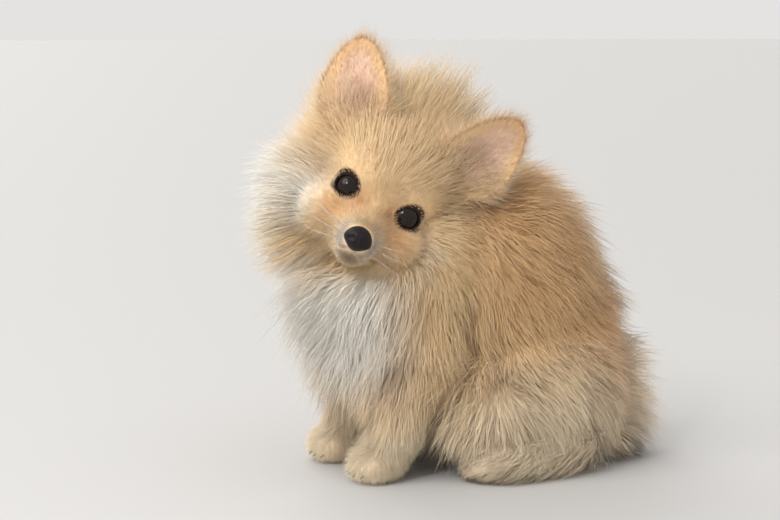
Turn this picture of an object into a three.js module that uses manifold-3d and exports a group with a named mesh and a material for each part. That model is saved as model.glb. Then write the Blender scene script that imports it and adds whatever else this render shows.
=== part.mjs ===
// A Pomeranian puppy that sits with its head turned to its left and tilted, as a life-size still model.
// Millimetres, +Z up. The chest faces -Y and the puppy's own left is +X.
import * as THREE from "three";
import { mergeVertices } from "three/addons/utils/BufferGeometryUtils.js";
import Module from "manifold-3d";

const wasm = await Module();
wasm.setup();

// Driving sizes
const GAP = 0.35; // clearance that is kept between nodes
const CORE_SHARE = 0.5; // how far up the long coat's depth a node's core reaches
const SHORT_SHARE = 0.9; // the same where the fur is short, so that no locks stand on it
const SHORT = 1; // depth of the shortest fur
const TIDY = 0.2; // how far a corner may move when needless ones are merged
const LOCK = { sink: 5, thick: 4.2, least: 8 }; // how deep a root sits, thickness, and the shortest one
const EYE_R = 7.2; // eyeball
const EYE_OPEN_R = 5.3; // half the width of the opening between the lids
const EYE_APART = 15; // from the middle of the face to each eye
const NOSE = { across: 6.6, deep: 5.2, high: 5.6 };
const EAR = { across: 14, high: 23, thick: 3.4, cup: 7 };
const TURN = THREE.MathUtils.degToRad(65); // the face's turn to the puppy's left
const RISE = THREE.MathUtils.degToRad(3); // how far the gaze rises
const TILT = THREE.MathUtils.degToRad(28.5); // the head's tilt towards its left shoulder
const EYE_LINE = new THREE.Vector3(23.5, -59.4, 127); // the point midway between the eyes
const GOLDEN_ANGLE = Math.PI * (3 - Math.sqrt(5));

const V = (x, y, z) => new THREE.Vector3(x, y, z);
const { clamp, lerp, smoothstep } = THREE.MathUtils;

// Head axes: x is the puppy's left, y is out through the back of the head and z is up, as for the body.
function headFrame() {
  const gaze = V(Math.sin(TURN) * Math.cos(RISE), -Math.cos(TURN) * Math.cos(RISE), Math.sin(RISE));
  const level = V(Math.cos(TURN), Math.sin(TURN), 0);
  const left = level.clone().applyAxisAngle(gaze, -TILT);
  const back = gaze.clone().negate();
  const up = left.clone().cross(back);
  return new THREE.Matrix4().makeBasis(left, back, up).setPosition(EYE_LINE);
}
const HEAD_PLACE = headFrame();
const inHead = (x, y, z) => V(x, y, z).applyMatrix4(HEAD_PLACE);

// Fields: each gives a point's rough distance to a form, negative inside it
const bone = (a, ra, b, rb) => {
  const along = b.clone().sub(a);
  const length2 = along.lengthSq();
  return (p) => {
    const t = clamp(p.clone().sub(a).dot(along) / length2, 0, 1);
    return p.distanceTo(a.clone().addScaledVector(along, t)) - lerp(ra, rb, t);
  };
};
const ellipsoid = (centre, radii) => (p) => {
  const q = p.clone().sub(centre).divide(radii);
  const near = q.length();
  return (near * (near - 1)) / Math.max(q.divide(radii).length(), 1e-6);
};
const blend =
  (width, ...forms) =>
  (p) =>
    forms
      .map((form) => form(p))
      .reduce((a, b) => Math.min(a, b) - Math.max(width - Math.abs(a - b), 0) ** 2 / (4 * width));
const smoothMax = (a, b, width) => Math.max(a, b) + Math.max(width - Math.abs(a - b), 0) ** 2 / (4 * width);
const grown = (form, by) => (p) => form(p) - (typeof by === "function" ? by(p) : by);
const gradient = (form, p, step = 0.5) =>
  V(
    form(p.clone().add(V(step, 0, 0))) - form(p.clone().sub(V(step, 0, 0))),
    form(p.clone().add(V(0, step, 0))) - form(p.clone().sub(V(0, step, 0))),
    form(p.clone().add(V(0, 0, step))) - form(p.clone().sub(V(0, 0, step))),
  ).normalize();

// Meshes and solids
function solidOf(geometry) {
  const bare = new THREE.BufferGeometry().setAttribute("position", geometry.getAttribute("position"));
  bare.setIndex(geometry.index);
  const merged = mergeVertices(bare, 1e-3);
  return new wasm.Manifold(
    new wasm.Mesh({
      numProp: 3,
      vertProperties: new Float32Array(merged.attributes.position.array),
      triVerts: new Uint32Array(merged.index.array),
    }),
  );
}
function geometryOf(solid) {
  const { vertProperties, triVerts, numProp } = solid.getMesh();
  const corners = new Float32Array((vertProperties.length / numProp) * 3);
  for (let i = 0; i < corners.length / 3; i++)
    corners.set(vertProperties.subarray(i * numProp, i * numProp + 3), i * 3);
  const geometry = new THREE.BufferGeometry().setAttribute(
    "position",
    new THREE.BufferAttribute(corners, 3),
  );
  geometry.setIndex(new THREE.BufferAttribute(triVerts, 1));
  geometry.computeVertexNormals();
  return geometry;
}
const largest = (solid) => {
  const biggest = (parts) => parts.reduce((a, b) => (a.volume() >= b.volume() ? a : b));
  return biggest(biggest(solid.decompose()).simplify(TIDY).decompose());
};
const placed = (solid, matrix) => solid.transform(matrix.elements);
const above = (solid, height) => solid.trimByPlane([0, 0, 1], height);

// The point where a ray from a node's axis leaves the form. turn is a unit vector: its y picks the place along the
// axis, and with it the ray leans out past the axis's ends.
const FRAMES = 24;
function axisOf(...points) {
  const curve = points.length > 2 ? new THREE.CatmullRomCurve3(points) : new THREE.LineCurve3(...points);
  return { curve, frames: curve.computeFrenetFrames(FRAMES) };
}
function onSurface({ curve, frames }, form, turn, reach) {
  const t = (1 - turn.y) / 2;
  const i = Math.round(t * FRAMES);
  const from = curve.getPoint(t);
  const ray = V(0, 0, 0)
    .addScaledVector(frames.normals[i], turn.x)
    .addScaledVector(frames.binormals[i], turn.z)
    .addScaledVector(frames.tangents[i], -turn.y);
  let inside = 0;
  let outside = reach;
  for (let n = 0; n < 22; n++) {
    const middle = (inside + outside) / 2;
    if (form(from.clone().addScaledVector(ray, middle)) < 0) inside = middle;
    else outside = middle;
  }
  return from.addScaledVector(ray, inside);
}
// A closed body: a ball whose corners slide out to the form's surface
function wrap(ball, axis, form, reach = 90) {
  const geometry = ball.clone();
  const corners = geometry.attributes.position;
  for (let i = 0; i < corners.count; i++) {
    const turn = V(0, 0, 0).fromBufferAttribute(corners, i).normalize();
    const p = onSurface(axis, form, turn, reach);
    corners.setXYZ(i, p.x, p.y, p.z);
  }
  const solid = solidOf(geometry);
  return solid.volume() > 0 ? solid : solidOf(flipped(geometry));
}
function flipped(geometry) {
  const merged = geometry.index ? geometry : mergeVertices(positionsOnly(geometry), 1e-3);
  const index = merged.index.array.slice();
  for (let i = 0; i < index.length; i += 3) [index[i + 1], index[i + 2]] = [index[i + 2], index[i + 1]];
  return positionsOnly(merged).setIndex(new THREE.BufferAttribute(index, 1));
}
const positionsOnly = (geometry) =>
  new THREE.BufferGeometry().setAttribute("position", geometry.getAttribute("position"));

// A ball of triangles for wrap, with lean of them drawn towards the axis's far end
function fineBall(detail, lean = 0) {
  const ball = new THREE.IcosahedronGeometry(1, detail);
  const corners = ball.attributes.position;
  for (let i = 0; i < corners.count; i++) {
    const turn = V(0, 0, 0).fromBufferAttribute(corners, i).normalize();
    corners.setXYZ(i, turn.x, turn.y - lean, turn.z);
  }
  return ball;
}
const mirrored = (side, x, y, z) => V(side * x, y, z);

// The forms of each part: its flesh, and the surface that the tips of its coat reach

// Head, in its own frame: the origin is midway between the eyes, and -y is the way that it looks
const cranium = ellipsoid(V(0, 30, 13), V(30, 31, 29));
const brow = ellipsoid(V(0, 14, 9), V(23, 17, 19));
const cheeks = (side) => ellipsoid(mirrored(side, 17, 14, -13), V(13, 17, 12));
const muzzle = bone(V(0, 4, -13), 13, V(0, -12, -18), 8.6);
const jaw = bone(V(0, 12, -19), 11, V(0, -8, -24.5), 5);
const HEAD_AXIS = axisOf(V(0, 30, 8), V(0, 14, 0));
const headFlesh = blend(7, cranium, brow, cheeks(1), cheeks(-1), muzzle, jaw);
const headTips = ellipsoid(V(0, 36, 9), V(56, 38, 62));

// Body, in the part's frame. No coat stands in front of the face: a clear way leads out of it along the gaze.
const FROM_HEAD = HEAD_PLACE.clone().invert();
const faceWay = bone(V(0, 8, -5), 27, V(0, -80, -5), 34);
const offFace = (form) => (p) => smoothMax(form(p), -faceWay(p.clone().applyMatrix4(FROM_HEAD)), 10);
const torsoFlesh = blend(
  14,
  bone(V(0, 28, 37), 38, V(0, 8, 94), 36),
  bone(V(0, -36, 58), 27, V(0, -38, 86), 31),
);
const torsoTips = offFace(
  blend(
    16,
    bone(V(0, 29, 44), 54, V(0, 14, 99), 47),
    bone(V(0, -42, 54), 47, V(-6, -48, 88), 50),
  ),
);
const TORSO_AXIS = axisOf(V(0, 20, 42), V(0, -22, 80));

const neckFlesh = bone(V(0, -24, 98), 30, inHead(0, 42, -6), 34);
const ruffBehind = ellipsoid(V(0, 44, 0), V(63, 32, 57));
const neckTips = offFace(
  blend(14, (p) => ruffBehind(p.clone().applyMatrix4(FROM_HEAD)), ellipsoid(V(-10, -52, 104), V(44, 54, 30))),
);
const NECK_AXIS = axisOf(V(-6, -46, 104), inHead(0, 44, -6));

const FORE = { shoulder: [19, -28, 80], elbow: [23, -38, 54], wrist: [23, -50, 19], paw: [23, -56, 9] };
const foreFlesh = (side) => {
  const at = (name) => mirrored(side, ...FORE[name]);
  return blend(
    6,
    bone(at("shoulder"), 13, at("elbow"), 11.5),
    bone(at("elbow"), 11.5, at("wrist"), 8.8),
    bone(at("wrist"), 8.8, at("paw"), 9.2),
    ...toes(V(side * 23, -62, 7), 0),
  );
};
// Four toes side by side in front of a paw
function toes(middle, turn) {
  const spots = [-7.4, -2.6, 2.6, 7.4];
  return spots.map((across) => {
    const back = Math.abs(across) * 0.35;
    const reach = V(across, -3.5 + back, 0).applyAxisAngle(V(0, 0, 1), turn);
    return ellipsoid(middle.clone().add(reach), V(3.9, 6.2, 5.4));
  });
}
const foreTips = (side) => grown(foreFlesh(side), (p) => lerp(2, 10, smoothstep(p.z, 14, 50)));

const HIND = { hip: [30, 24, 34], knee: [36, -2, 30], hock: [44, 34, 12], paw: [45, -8, 9] };
const thighFlesh = (side) =>
  blend(
    8,
    ellipsoid(mirrored(side, ...HIND.hip), V(19, 32, 31)),
    bone(mirrored(side, ...HIND.hip), 18, mirrored(side, ...HIND.knee), 16),
  );
const thighTips = (side) => ellipsoid(V(side * 37, 15, 33), V(26, 50, 43));
const footFlesh = (side) => {
  const at = (name) => mirrored(side, ...HIND[name]);
  return blend(4, bone(at("hock"), 8.5, at("paw"), 8.6), ...toes(V(side * 45, -14, 7), side * 0.12));
};
const footTips = (side) => grown(footFlesh(side), (p) => lerp(2, 7, smoothstep(p.y, -12, 10)));

const TAIL = [V(0, 56, 50), V(3, 69, 34), V(14, 67, 18), V(32, 58, 12)];
const TAIL_R = [9, 8, 7, 5.5];
const tailFlesh = blend(
  4,
  ...[0, 1, 2].map((i) => bone(TAIL[i], TAIL_R[i], TAIL[i + 1], TAIL_R[i + 1])),
);
const tailTips = blend(8, ellipsoid(V(10, 68, 34), V(26, 30, 38)), ellipsoid(V(28, 62, 16), V(24, 26, 18)));

// Locks of the long coat
function seeded(seed) {
  let state = seed;
  return () => {
    state = (state + 0x6d2b79f5) | 0;
    let mixed = Math.imul(state ^ (state >>> 15), 1 | state);
    mixed = (mixed + Math.imul(mixed ^ (mixed >>> 7), 61 | mixed)) ^ mixed;
    return ((mixed ^ (mixed >>> 14)) >>> 0) / 2 ** 32;
  };
}
// A flat lock: a cone of three sides, pressed flat and bent along a curve that leaves the skin and turns to the lie
function lockSolid({ root, out, way, length, width }, by = 0) {
  const side = way.clone().cross(out).normalize();
  const tip = root.clone().addScaledVector(way, length);
  const bend = root.clone().addScaledVector(out, 0.25 * length).addScaledVector(way, 0.25 * length);
  const curve = new THREE.QuadraticBezierCurve3(root.clone().addScaledVector(out, -LOCK.sink), bend, tip);
  const cone = new THREE.ConeGeometry(1, 1, 3, 3);
  const corners = cone.attributes.position;
  for (let i = 0; i < corners.count; i++) {
    const t = corners.getY(i) + 0.5;
    const at = curve.getPoint(t);
    if (t < 0.999) {
      const taper = Math.sin(Math.PI * Math.min(0.32 + 0.7 * t, 1)) ** 0.6;
      const up = side.clone().cross(curve.getTangent(t)).normalize().negate();
      const [across, over] = [corners.getX(i) / (1 - t), corners.getZ(i) / (1 - t)];
      at.addScaledVector(side, across * (width * 0.58 * taper + 6 * by));
      at.addScaledVector(up, over * (LOCK.thick * 0.5 * taper + 2 * by));
    } else {
      at.addScaledVector(tip.clone().sub(curve.getPoint(2 / 3)).normalize(), 6 * by);
    }
    corners.setXYZ(i, at.x, at.y, at.z);
  }
  const solid = solidOf(cone);
  return solid.volume() > 0 ? solid : solidOf(flipped(cone));
}
// Locks spread evenly over a core. comb gives the lie at a point, and each lock ends where the coat's tips are.
function plant({ axis, core, tips, comb, count, width, stand, seed, skip = () => false }) {
  const random = seeded(seed);
  const vary = (by) => 1 + by * (2 * random() - 1);
  const locks = [];
  for (let i = 0; i < count; i++) {
    const y = 1 - (2 * i + 1) / count;
    const turn = V(Math.sqrt(1 - y * y), 0, 0).applyAxisAngle(V(0, 1, 0), i * GOLDEN_ANGLE).setY(y);
    const root = onSurface(axis, core, turn, 90);
    const out = gradient(core, root);
    const lie = comb(root, out);
    lie.addScaledVector(out, -lie.dot(out)).normalize();
    lie.applyAxisAngle(out, 0.3 * (2 * random() - 1));
    const way = lie.addScaledVector(out, stand * vary(0.25)).normalize();
    let length = 0;
    while (length < 60 && tips(root.clone().addScaledVector(way, length)) < 0) length += 0.5;
    length *= vary(0.1);
    const tip = root.clone().addScaledVector(way, length);
    if (length < LOCK.least || skip(root, tip)) continue;
    locks.push({ root, out, way, length, width: width * vary(0.15) });
  }
  return locks;
}
const joinAll = (solids) => wasm.Manifold.union(solids);
const withLocks = ({ solid, grown: clearance }, locks) => ({
  solid: joinAll([solid, ...locks.map((lock) => lockSolid(lock))]),
  grown: joinAll([clearance, ...locks.map((lock) => lockSolid(lock, GAP))]),
});

// Bodies, cut to each other further down: each reaches a share of the way from its flesh to its tips
const withCoat = (flesh, tips, share = CORE_SHARE) => (p) =>
  Math.min(flesh(p) - SHORT, lerp(flesh(p), tips(p), share));
const headForm = withCoat(headFlesh, headTips);
const body = (ball, axis, form) => ({
  solid: wrap(ball, axis, form),
  grown: wrap(ball, axis, grown(form, 1.5 * GAP)),
});

// Ears: a ball pressed into a leaf, curled forward along both edges
function earSolid(side, by = 0) {
  const leaf = new THREE.SphereGeometry(1, 12, 9);
  const corners = leaf.attributes.position;
  for (let i = 0; i < corners.count; i++) {
    const [a, s, t] = [corners.getX(i), corners.getY(i), corners.getZ(i)];
    const wide = 1 + 0.25 * smoothstep(-s, -0.6, 0.6) - 0.1 * smoothstep(s, 0.2, 1);
    const x = a * (EAR.across + by) * wide;
    const y = -t * (EAR.thick / 2 + by) - EAR.cup * a * a * (1 - 0.35 * s) * 0.8;
    corners.setXYZ(i, x, y, s * (EAR.high + by));
  }
  const place = new THREE.Matrix4().makeRotationFromEuler(
    new THREE.Euler(0.06, side * 0.4, side * 0.3, "ZYX"),
  );
  place.setPosition(side * 32, 16, 40.5);
  return placed(solidOf(leaf), place);
}

// Eyes sit where the face's own surface, less the lids' depth, lets the right disc of eyeball show
const eyeTurn = (side) => V(side * 0.24, -1, -0.02).normalize();
function eyeCentre(side) {
  const out = eyeTurn(side);
  const start = mirrored(side, EYE_APART - 3, 14, 0);
  let at = start.clone();
  while (headForm(at) < 0 && at.y > -20) at.addScaledVector(out, 0.1);
  const seat = Math.sqrt(EYE_R ** 2 - EYE_OPEN_R ** 2);
  return at.addScaledVector(out, -seat - 0.4);
}
const eyeSolid = (side, by = 0) => {
  const ball = solidOf(new THREE.IcosahedronGeometry(EYE_R + by, 2));
  const c = eyeCentre(side);
  return ball.translate([c.x, c.y, c.z]);
};
// Both lids of an eye as one ring, with its plane square to the eye's gaze
function lids(side) {
  const ring = new THREE.TorusGeometry(EYE_OPEN_R + 0.7, 1.5, 5, 16);
  const out = eyeTurn(side);
  const place = new THREE.Matrix4().lookAt(out, V(0, 0, 0), V(0, 0, 1));
  place.setPosition(eyeCentre(side).addScaledVector(out, Math.sqrt(EYE_R ** 2 - EYE_OPEN_R ** 2) - 0.2));
  return placed(solidOf(ring.scale(1.04, 0.9, 1)), place);
}

// Nose: a rounded wedge, narrower below, with two nostrils
const NOSE_AT = V(0, -20.5, -17.5);
function noseSolid(by = 0) {
  const pad = new THREE.SphereGeometry(1, 12, 8);
  const corners = pad.attributes.position;
  for (let i = 0; i < corners.count; i++) {
    const [x, y, z] = [corners.getX(i), corners.getY(i), corners.getZ(i)];
    const narrow = 1 - 0.3 * smoothstep(-z, -0.1, 1);
    corners.setXYZ(
      i,
      x * (NOSE.across + by) * narrow,
      y * (NOSE.deep + by),
      z * (NOSE.high + by) - 0.8 * x * x * 1.2,
    );
  }
  return solidOf(pad).translate([NOSE_AT.x, NOSE_AT.y, NOSE_AT.z]);
}
function nostril(side) {
  const hole = solidOf(new THREE.IcosahedronGeometry(1, 1).scale(1.7, 2.6, 1.25));
  return hole.translate([side * 2.9, NOSE_AT.y - 4.6, NOSE_AT.z - 0.6]);
}
// The line of the mouth, a groove from corner to corner that rises under the nose
function mouthLine() {
  const points = [-1, -0.6, -0.22, 0, 0.22, 0.6, 1].map((s) => {
    const turn = V(s * 15, -19 + 17 * s * s, -25 + 2.2 * Math.exp(-s * s * 18)).sub(V(0, 4, -20));
    const ray = turn.normalize();
    let at = V(0, 4, -20);
    while (headForm(at) < 0) at = at.clone().addScaledVector(ray, 0.1);
    return at;
  });
  const path = new THREE.CatmullRomCurve3(points);
  const section = new THREE.Shape();
  section.absarc(0, 0, 0.9, 0, Math.PI * 2);
  const groove = new THREE.ExtrudeGeometry(section, {
    steps: 16,
    curveSegments: 3,
    extrudePath: path,
    bevelEnabled: false,
  });
  return solidOf(groove);
}

// The head and what is set in it, in the head's frame
const eyes = { left: eyeSolid(1), right: eyeSolid(-1) };
const nose = noseSolid().subtract(nostril(1)).subtract(nostril(-1));
const earRoom = (p) => Math.hypot(Math.abs(p.x) - 34, p.y - 10, p.z - 48) - 13;
const onBrow = (p) => p.y < 18 && p.z > 2 && Math.abs(p.x) < 36;
const headLocks = plant({
  axis: HEAD_AXIS,
  core: headForm,
  tips: headTips,
  comb: (p) => V(p.x, 0.6 * Math.hypot(p.x, p.z), p.z),
  count: 72,
  width: 19,
  stand: 0.6,
  seed: 3,
  skip: (root, tip) => earRoom(root) < 0 || earRoom(tip) < 0 || root.z < -26 || onBrow(root),
});
const headBody = withLocks(body(fineBall(5, 0.45), HEAD_AXIS, headForm), headLocks);
const head = largest(
  joinAll([headBody.solid, lids(1), lids(-1)])
    .subtract(eyeSolid(1, GAP))
    .subtract(eyeSolid(-1, GAP))
    .subtract(noseSolid(GAP))
    .subtract(mouthLine())
    .subtract(earSolid(1, GAP))
    .subtract(earSolid(-1, GAP)),
);
const headCore = wrap(fineBall(5), HEAD_AXIS, grown(headForm, 1.5 * GAP));
const ears = {
  left: largest(earSolid(1).subtract(headCore)),
  right: largest(earSolid(-1).subtract(headCore)),
};
const headGrown = placed(headBody.grown, HEAD_PLACE);

// Whether a lock touches the floor, or would lie inside another node and its coat
const hiddenBy =
  (...forms) =>
  (root, tip) =>
    tip.z < 3 || forms.some((form) => form(root) < -6 || form(tip) < -3);
const headFormWorld = (p) => headForm(p.clone().applyMatrix4(FROM_HEAD));
const headTipsWorld = (p) => headTips(p.clone().applyMatrix4(FROM_HEAD));
const ruffLie = (p) => {
  const q = p.clone().applyMatrix4(FROM_HEAD);
  return V(q.x, 12, q.z + 6).normalize().transformDirection(HEAD_PLACE).add(V(0, 0, -0.35));
};

// The body's parts
const neckForm = withCoat(neckFlesh, neckTips);
const neckBody = withLocks(
  body(fineBall(3), NECK_AXIS, neckForm),
  plant({
    axis: NECK_AXIS,
    core: neckForm,
    tips: neckTips,
    comb: ruffLie,
    count: 61,
    width: 21,
    stand: 0.7,
    seed: 5,
    skip: hiddenBy((p) => headFormWorld(p) + 2),
  }),
);
const thighCore = (side) => withCoat(thighFlesh(side), thighTips(side));
const torsoForm = withCoat(torsoFlesh, torsoTips);
const torsoCoat = {
  core: torsoForm,
  tips: torsoTips,
  comb: (p) => V(0.2 * p.x, lerp(-0.4, 0.55, smoothstep(p.y, -50, 10)), -1),
  width: 23,
  stand: 0.65,
};
const underOthers = hiddenBy(
  headTipsWorld,
  grown(neckTips, -6),
  grown(thighCore(1), -4),
  grown(thighCore(-1), -4),
);
const torsoBody = withLocks(body(fineBall(3), TORSO_AXIS, torsoForm), [
  ...plant({
    ...torsoCoat,
    axis: TORSO_AXIS,
    count: 88,
    seed: 7,
    skip: (root, tip) => root.y < -44 || underOthers(root, tip),
  }),
  ...plant({
    ...torsoCoat,
    axis: axisOf(V(0, -30, 92), V(0, -34, 48)),
    count: 48,
    seed: 8,
    skip: (root, tip) => root.y > -46 || underOthers(root, tip),
  }),
]);
const tailAxis = axisOf(V(6, 62, 42), V(22, 62, 14));
const tailForm = withCoat(tailFlesh, tailTips);
const tailBody = withLocks(
  body(fineBall(3), tailAxis, tailForm),
  plant({
    axis: tailAxis,
    core: tailForm,
    tips: tailTips,
    comb: (p) => p.clone().sub(V(-4, 42, 44)),
    count: 26,
    width: 19,
    stand: 0.4,
    seed: 9,
    skip: hiddenBy(torsoForm),
  }),
);
const foreBody = (side) => {
  const axis = axisOf(mirrored(side, 21, -34, 66), mirrored(side, 23, -57, 9));
  const form = withCoat(foreFlesh(side), foreTips(side));
  return withLocks(
    body(fineBall(4, 0.2), axis, form),
    plant({
      axis,
      core: form,
      tips: foreTips(side),
      comb: () => V(side * 0.1, 0.1, -1),
      count: 26,
      width: 19,
      stand: 0.35,
      seed: 13,
      skip: (root) => side * root.x < 22 || root.z < 30,
    }),
  );
};
const thighBody = (side) => {
  const axis = axisOf(mirrored(side, 32, 30, 34), mirrored(side, 34, 6, 34));
  const form = withCoat(thighFlesh(side), thighTips(side));
  return withLocks(
    body(fineBall(3), axis, form),
    plant({
      axis,
      core: form,
      tips: thighTips(side),
      comb: (p) => V(side * 0.1, 0.45, -1),
      count: 34,
      width: 21,
      stand: 0.5,
      seed: 11,
      skip: (root, tip) => side * root.x < 26 || tip.z < 2,
    }),
  );
};
const footBody = (side) => {
  const axis = axisOf(mirrored(side, 44, 30, 11), mirrored(side, 45, -12, 8));
  return body(fineBall(3), axis, withCoat(footFlesh(side), footTips(side), SHORT_SHARE));
};

// Each part is cut clear of those before it
const bodyParts = {};
const cutters = [headGrown];
for (const side of [1, -1])
  cutters.push(placed(earSolid(side, 2 * GAP), HEAD_PLACE), placed(eyeSolid(side, GAP), HEAD_PLACE));
function settle(name, { solid, grown: clearance }) {
  let cut = above(solid, 0);
  for (const other of cutters) cut = cut.subtract(other);
  bodyParts[name] = largest(cut);
  cutters.push(clearance);
}
const joined = (a, b) => ({ solid: a.solid.add(b.solid), grown: a.grown.add(b.grown) });

settle("neck", neckBody);
settle("torso", torsoBody);
for (const [name, side] of [["left", 1], ["right", -1]]) {
  settle("hindleg_" + name, joined(thighBody(side), footBody(side)));
  settle("foreleg_" + name, foreBody(side));
}
settle("tail", tailBody);

// Finishes
const finish = (colour, roughness) => new THREE.MeshStandardMaterial({ color: colour, roughness });
const coatGold = finish(0xc79a66, 0.95);
const coatCream = finish(0xdcc4a4, 0.95);
const coatWhite = finish(0xe6e0d8, 0.95);
const blackLeather = finish(0x16130f, 0.45);
const wetEye = finish(0x0b0705, 0.05);

const puppy = new THREE.Group();
const node = (name, solid, material) => {
  const mesh = new THREE.Mesh(geometryOf(solid), material);
  mesh.name = name;
  return mesh;
};

const headGroup = new THREE.Group();
headGroup.applyMatrix4(HEAD_PLACE);
headGroup.add(node("head", head, coatGold), node("nose", nose, blackLeather));
for (const name of ["left", "right"]) {
  headGroup.add(node("eye_" + name, eyes[name], wetEye), node("ear_" + name, ears[name], coatGold));
}
puppy.add(headGroup);

const finishes = { neck: coatWhite, torso: coatGold, tail: coatCream };
for (const [name, solid] of Object.entries(bodyParts))
  puppy.add(node(name, solid, finishes[name] ?? coatCream));

// The origin is on the floor under the middle of the bounding box
const middle = new THREE.Box3().setFromObject(puppy, true).getCenter(V(0, 0, 0));
puppy.position.set(-middle.x, -middle.y, 0);

export default puppy;
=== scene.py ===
"""A sitting Pomeranian puppy: one skin under a coat of tufts, with its eyes, nose, whiskers and claws."""

import copy
import math

import bpy
import numpy as np
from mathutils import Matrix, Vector, kdtree


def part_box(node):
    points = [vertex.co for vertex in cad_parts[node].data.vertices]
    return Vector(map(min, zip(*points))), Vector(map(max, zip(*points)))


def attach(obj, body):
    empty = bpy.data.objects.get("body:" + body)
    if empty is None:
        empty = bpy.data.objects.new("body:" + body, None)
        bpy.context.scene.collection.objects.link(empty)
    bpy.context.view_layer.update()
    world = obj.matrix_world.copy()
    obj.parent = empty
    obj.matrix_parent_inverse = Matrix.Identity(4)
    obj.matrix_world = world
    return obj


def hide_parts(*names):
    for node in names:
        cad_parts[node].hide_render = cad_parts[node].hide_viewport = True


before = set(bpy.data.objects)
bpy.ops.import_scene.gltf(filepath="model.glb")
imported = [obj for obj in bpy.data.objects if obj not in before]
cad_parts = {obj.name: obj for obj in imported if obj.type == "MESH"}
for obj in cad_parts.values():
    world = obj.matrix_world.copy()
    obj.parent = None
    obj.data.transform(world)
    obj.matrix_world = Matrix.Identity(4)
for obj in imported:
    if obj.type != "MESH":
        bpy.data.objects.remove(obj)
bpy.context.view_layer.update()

# Forms are worked out in millimetres, in the axes of the part, and meshes are made in metres
MM = 0.001
rng = np.random.default_rng(12)

# Head: the face is turned to the puppy's left and tilted towards its left shoulder
TURN = math.radians(65)
RISE = math.radians(3)
TILT = math.radians(28.5)
EYE_LINE = np.array([23.5, -59.4, 127.0])  # midway between the eyes
EYE_R = 7.2
EYE_OPEN_R = 5.3
EYE_APART = 15.0
EYE_SEAT = 0.4  # how far an eyeball sits behind where its opening would just touch the face
EYE_BULGE = 0.35
CORE_SHARE = 0.5  # how far up the coat the solids' cores reach
SHORT = 1.0  # how far those cores stand off the flesh at least
NOSE_TIP = np.array([0.0, -20, -17])
NOSE_AT = np.array([0.0, -20.5, -17.5])
NOSE = {"across": 6.6, "deep": 5.2, "high": 5.6}
EAR = {"across": 14, "high": 23, "thick": 3.4, "cup": 7, "at": (32, 16, 40.5)}
EAR_TURNS = (0.06, 0.4, 0.3)  # about x, y and z, in radians
EARS = (("ear_left", 1), ("ear_right", -1))

TAIL = (((0, 56, 50), 9), ((3, 69, 34), 8), ((14, 67, 18), 7), ((32, 58, 12), 5.5))  # points and radii

# Limbs of the left side; the right mirrors them
FORE = {"shoulder": (19, -28, 80), "elbow": (23, -38, 54), "wrist": (23, -50, 19), "paw": (23, -56, 9)}
HIND = {"hip": (30, 24, 34), "knee": (36, -2, 30), "hock": (44, 34, 12), "paw": (45, -8, 9)}
TOE_SPOTS = (-7.4, -2.6, 2.6, 7.4)
TOE_RADII = (3.9, 6.2, 5.4)
TOE_RETREAT = 0.35  # how much further back an outer toe is, for each millimetre that it is out
FORE_TOES = np.array([23.0, -62, 7])
HIND_TOES = np.array([45.0, -14, 7])
HIND_TOES_TURN = 0.12

# Coat
LONG_TUFTS = 92000
UNDER_TUFTS = 62000
SHORT_TUFTS = 48000
EAR_TUFTS = 8500
PIECE_TRIANGLES = 190000
PATCH = 0.003  # a tuft's place on the bake map
SINK = 0.7  # how deep a root sits
FLOOR_GAP = 0.3
FINE = 0.13  # thickness of the short fur and of the ears' fur
FARTHEST = 60  # no coat is deeper than this
PART_BLEND = 3.5  # distance over which the coats of two parts mix
LEAST_WEIGHT = 0.03
BURIED = 2.5  # deeper than this in another part a root grows no tuft
EYE_MARGIN = 1.0
LIP_MARGIN = 1.0
NOSE_MARGIN = (7, 6, 6)  # half sizes of the bare place under the nose
MOST_LEAN = 17  # how far the lie carries a tip along the skin
FRIZZ = 0.13  # share of its length by which a tip strays
WAVE = 0.22  # share of its length by which slow waves turn a tuft
CLUMP = 24  # tufts that draw together
CLUMP_PULL = 0.4

# Whiskers and claws
WHISKER_LENGTH = (13, 19)
WHISKER_THICK = 0.11
CLAW_BEFORE = 9.2  # from the toes' middle forward to a claw
CLAW_DROP = 1.8
CLAW_GAP = 0.35  # least height of a claw over the floor

# Skin
GRID_SHARE = 150000  # points of a grid worked out at once
HEAD_BOX = ((-36, -26, -36), (36, 66, 48))
BODY_BOX = ((-64, -80, -2), (62, 86, 164))
HEAD_STEP = 0.9
BODY_STEP = 2.2
NOSE_STEP = 0.35
SOLE = 0.4  # height of the skin's underside
LID_OUT = 0.6  # from the opening to the middle of the lid's rim
LID_ROLL = 0.9  # radius of that rim
LIP_CUT = 0.7  # radius of the mouth's groove


def unit(v):
    return v / np.maximum(np.linalg.norm(v, axis=-1, keepdims=True), 1e-9)


def lerp(a, b, t):
    return a + (b - a) * t


def smoothstep(x, low, high):
    t = np.clip((x - low) / (high - low), 0, 1)
    return t * t * (3 - 2 * t)


def vec(*xyz):
    return np.array(xyz, float)


# Fields: each gives the rough distance of points to a form, negative inside it


def bone(a, ra, b, rb):
    along = b - a

    def field(p):
        t = np.clip((p - a) @ along / (along @ along), 0, 1)
        return np.linalg.norm(p - a - t[:, None] * along, axis=1) - lerp(ra, rb, t)

    return field


def ellipsoid(centre, radii):
    def field(p):
        q = (p - centre) / radii
        near = np.linalg.norm(q, axis=1)
        return near * (near - 1) / np.maximum(np.linalg.norm(q / radii, axis=1), 1e-6)

    return field


def smooth_min(a, b, width):
    return np.minimum(a, b) - np.maximum(width - np.abs(a - b), 0) ** 2 / (4 * width)


def smooth_max(a, b, width):
    return -smooth_min(-a, -b, width)


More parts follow.
